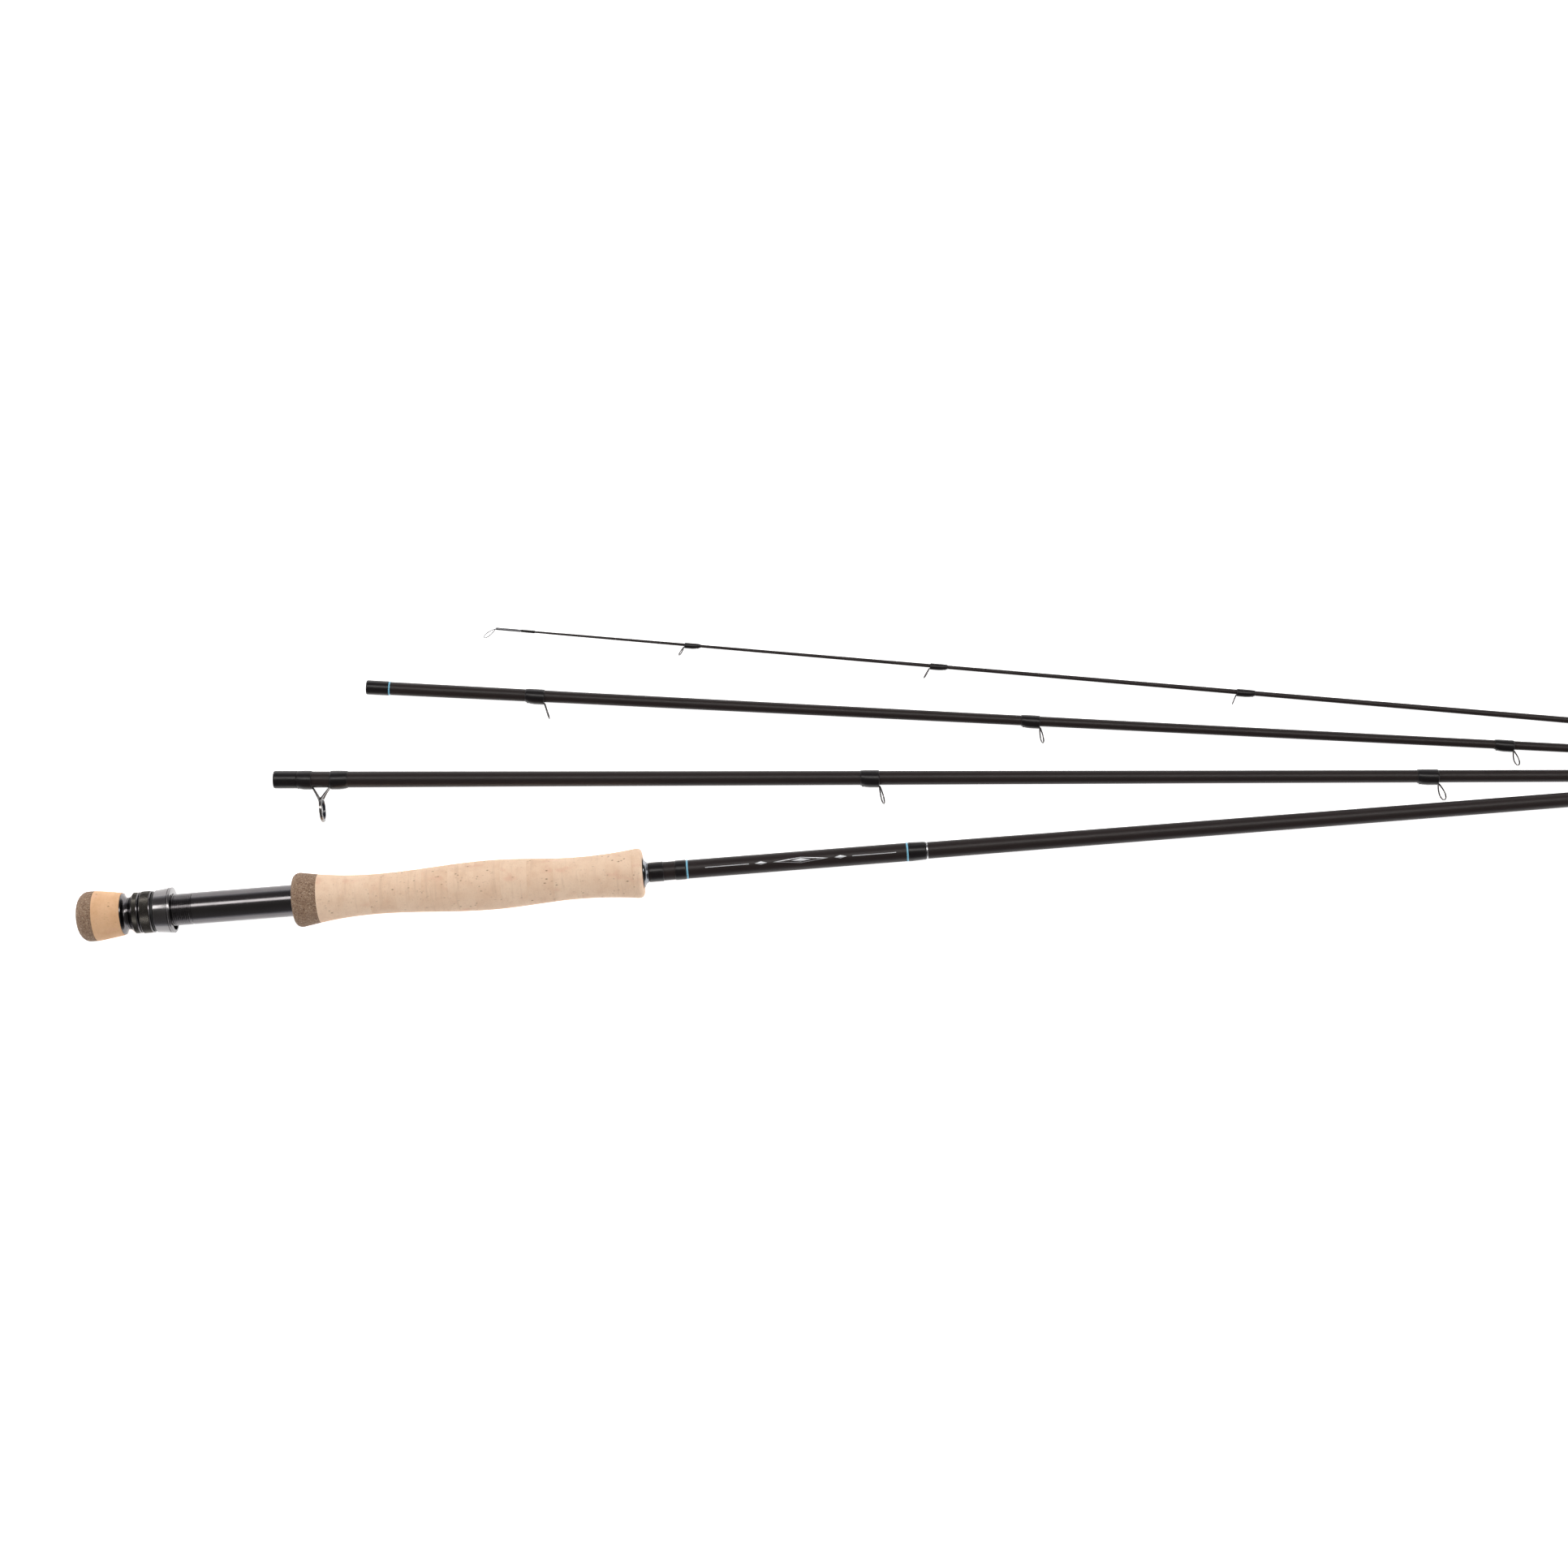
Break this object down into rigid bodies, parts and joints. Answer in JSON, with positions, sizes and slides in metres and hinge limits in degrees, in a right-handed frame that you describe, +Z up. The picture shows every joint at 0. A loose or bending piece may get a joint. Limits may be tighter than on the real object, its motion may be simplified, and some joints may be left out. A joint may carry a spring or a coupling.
{
  "type": "fly rod",
  "caption": "Take-down fly rod laid out in sections: cork full-wells grip with a fighting butt, uplocking threaded reel seat, tapered tubular blanks with wire line guides.",
  "frame": {"origin": "middle of the laid-out rod's footprint, on the table it lies on", "axes": "+X from the handle towards the far ends of the sections, +Y across the fan away from the handle, +Z up from the table"},
  "size_m": [0.9956, 0.1586, 0.0276],
  "materials": {
    "composite_cork": "granules of light and dark cork bound together, sanded",
    "cork": "natural cork with small pits, sanded",
    "butt_cork": "natural cork, sanded",
    "gunmetal": "anodised and polished, dark grey",
    "knurled_metal": "anodised, fine diamond knurl",
    "nylon": "plain black",
    "graphite": "graphite and resin, satin, very dark brown",
    "foam": "stiff closed-cell filler",
    "thread": "black thread under glossy varnish",
    "accent": "light blue thread under glossy varnish",
    "silver": "fine metallic thread",
    "steel_wire": "polished hard wire",
    "ceramic": "polished black ceramic"
  },
  "bodies": {
    "butt_section": {"accent_band_front": "accent", "accent_band_rear": "accent", "butt_blank": "graphite", "butt_cap": "composite_cork", "butt_wrap_front": "thread", "butt_wrap_middle": "thread", "butt_wrap_rear": "thread", "fighting_butt_cork": "butt_cork", "fixed_hood": "gunmetal", "grip_composite_ring": "composite_cork", "grip_cork_ring_1": "cork", "grip_cork_ring_2": "cork", "grip_cork_ring_3": "cork", "grip_cork_ring_4": "cork", "grip_cork_ring_5": "cork", "grip_cork_ring_6": "cork", "grip_front_ring": "cork", "seat_arbor_front": "foam", "seat_arbor_rear": "foam", "seat_barrel": "gunmetal", "seat_end_cap": "gunmetal", "silver_band": "silver", "winding_check": "gunmetal"},
    "reel_hood": {"hood_washer": "nylon", "sliding_hood": "gunmetal"},
    "front_lock_nut": {"front_lock_nut": "knurled_metal"},
    "rear_lock_nut": {"rear_lock_nut": "knurled_metal"},
    "second_section": {"second_blank": "graphite", "second_ferrule_wrap": "thread", "second_guide_1": "steel_wire", "second_guide_1_wrap": "thread", "second_guide_2": "steel_wire", "second_guide_2_wrap": "thread", "stripping_guide_frame": "steel_wire", "stripping_guide_ring": "ceramic", "stripping_guide_wrap_front": "thread", "stripping_guide_wrap_rear": "thread"},
    "third_section": {"third_accent_band": "accent", "third_blank": "graphite", "third_ferrule_wrap": "thread", "third_guide_1": "steel_wire", "third_guide_1_wrap": "thread", "third_guide_2": "steel_wire", "third_guide_2_wrap": "thread", "third_guide_3": "steel_wire", "third_guide_3_wrap": "thread"},
    "tip_section": {"tip_blank": "graphite", "tip_ferrule_wrap": "thread", "tip_guide_1": "steel_wire", "tip_guide_1_wrap": "thread", "tip_guide_2": "steel_wire", "tip_guide_2_wrap": "thread", "tip_guide_3": "steel_wire", "tip_guide_3_wrap": "thread", "tip_guide_4": "steel_wire", "tip_guide_4_wrap": "thread", "tip_guide_5": "steel_wire", "tip_guide_5_wrap": "thread", "tip_top": "steel_wire", "tip_top_wrap": "thread"}
  },
  "joints": [
    {"name": "hood_slide", "type": "slide", "parent": "butt_section", "child": "reel_hood", "axis": [0.9969, 0.0788, 0], "range_m": [0, 0.0181]},
    {"name": "front_nut_turn", "type": "hinge", "parent": "reel_hood", "child": "front_lock_nut", "pos_m": [-0.46542, -0.06465, 0.0138], "axis": [0.9969, 0.0788, 0], "range_deg": [0, 6480]},
    {"name": "rear_nut_turn", "type": "hinge", "parent": "reel_hood", "child": "rear_lock_nut", "pos_m": [-0.4703, -0.06503, 0.0138], "axis": [0.9969, 0.0788, 0], "range_deg": [0, 6480]},
    {"name": "second_section_lift", "type": "slide", "parent": "butt_section", "child": "second_section", "axis": [0, 0, 1], "range_m": [0, 0.06]},
    {"name": "third_section_lift", "type": "slide", "parent": "butt_section", "child": "third_section", "axis": [0, 0, 1], "range_m": [0, 0.06]},
    {"name": "tip_section_lift", "type": "slide", "parent": "butt_section", "child": "tip_section", "axis": [0, 0, 1], "range_m": [0, 0.06]}
  ],
  "couplings": [
    {"joint": "hood_slide", "follows": "front_nut_turn", "m_per_rad": 0.00015915},
    {"joint": "rear_nut_turn", "follows": "front_nut_turn", "ratio": 1}
  ]
}
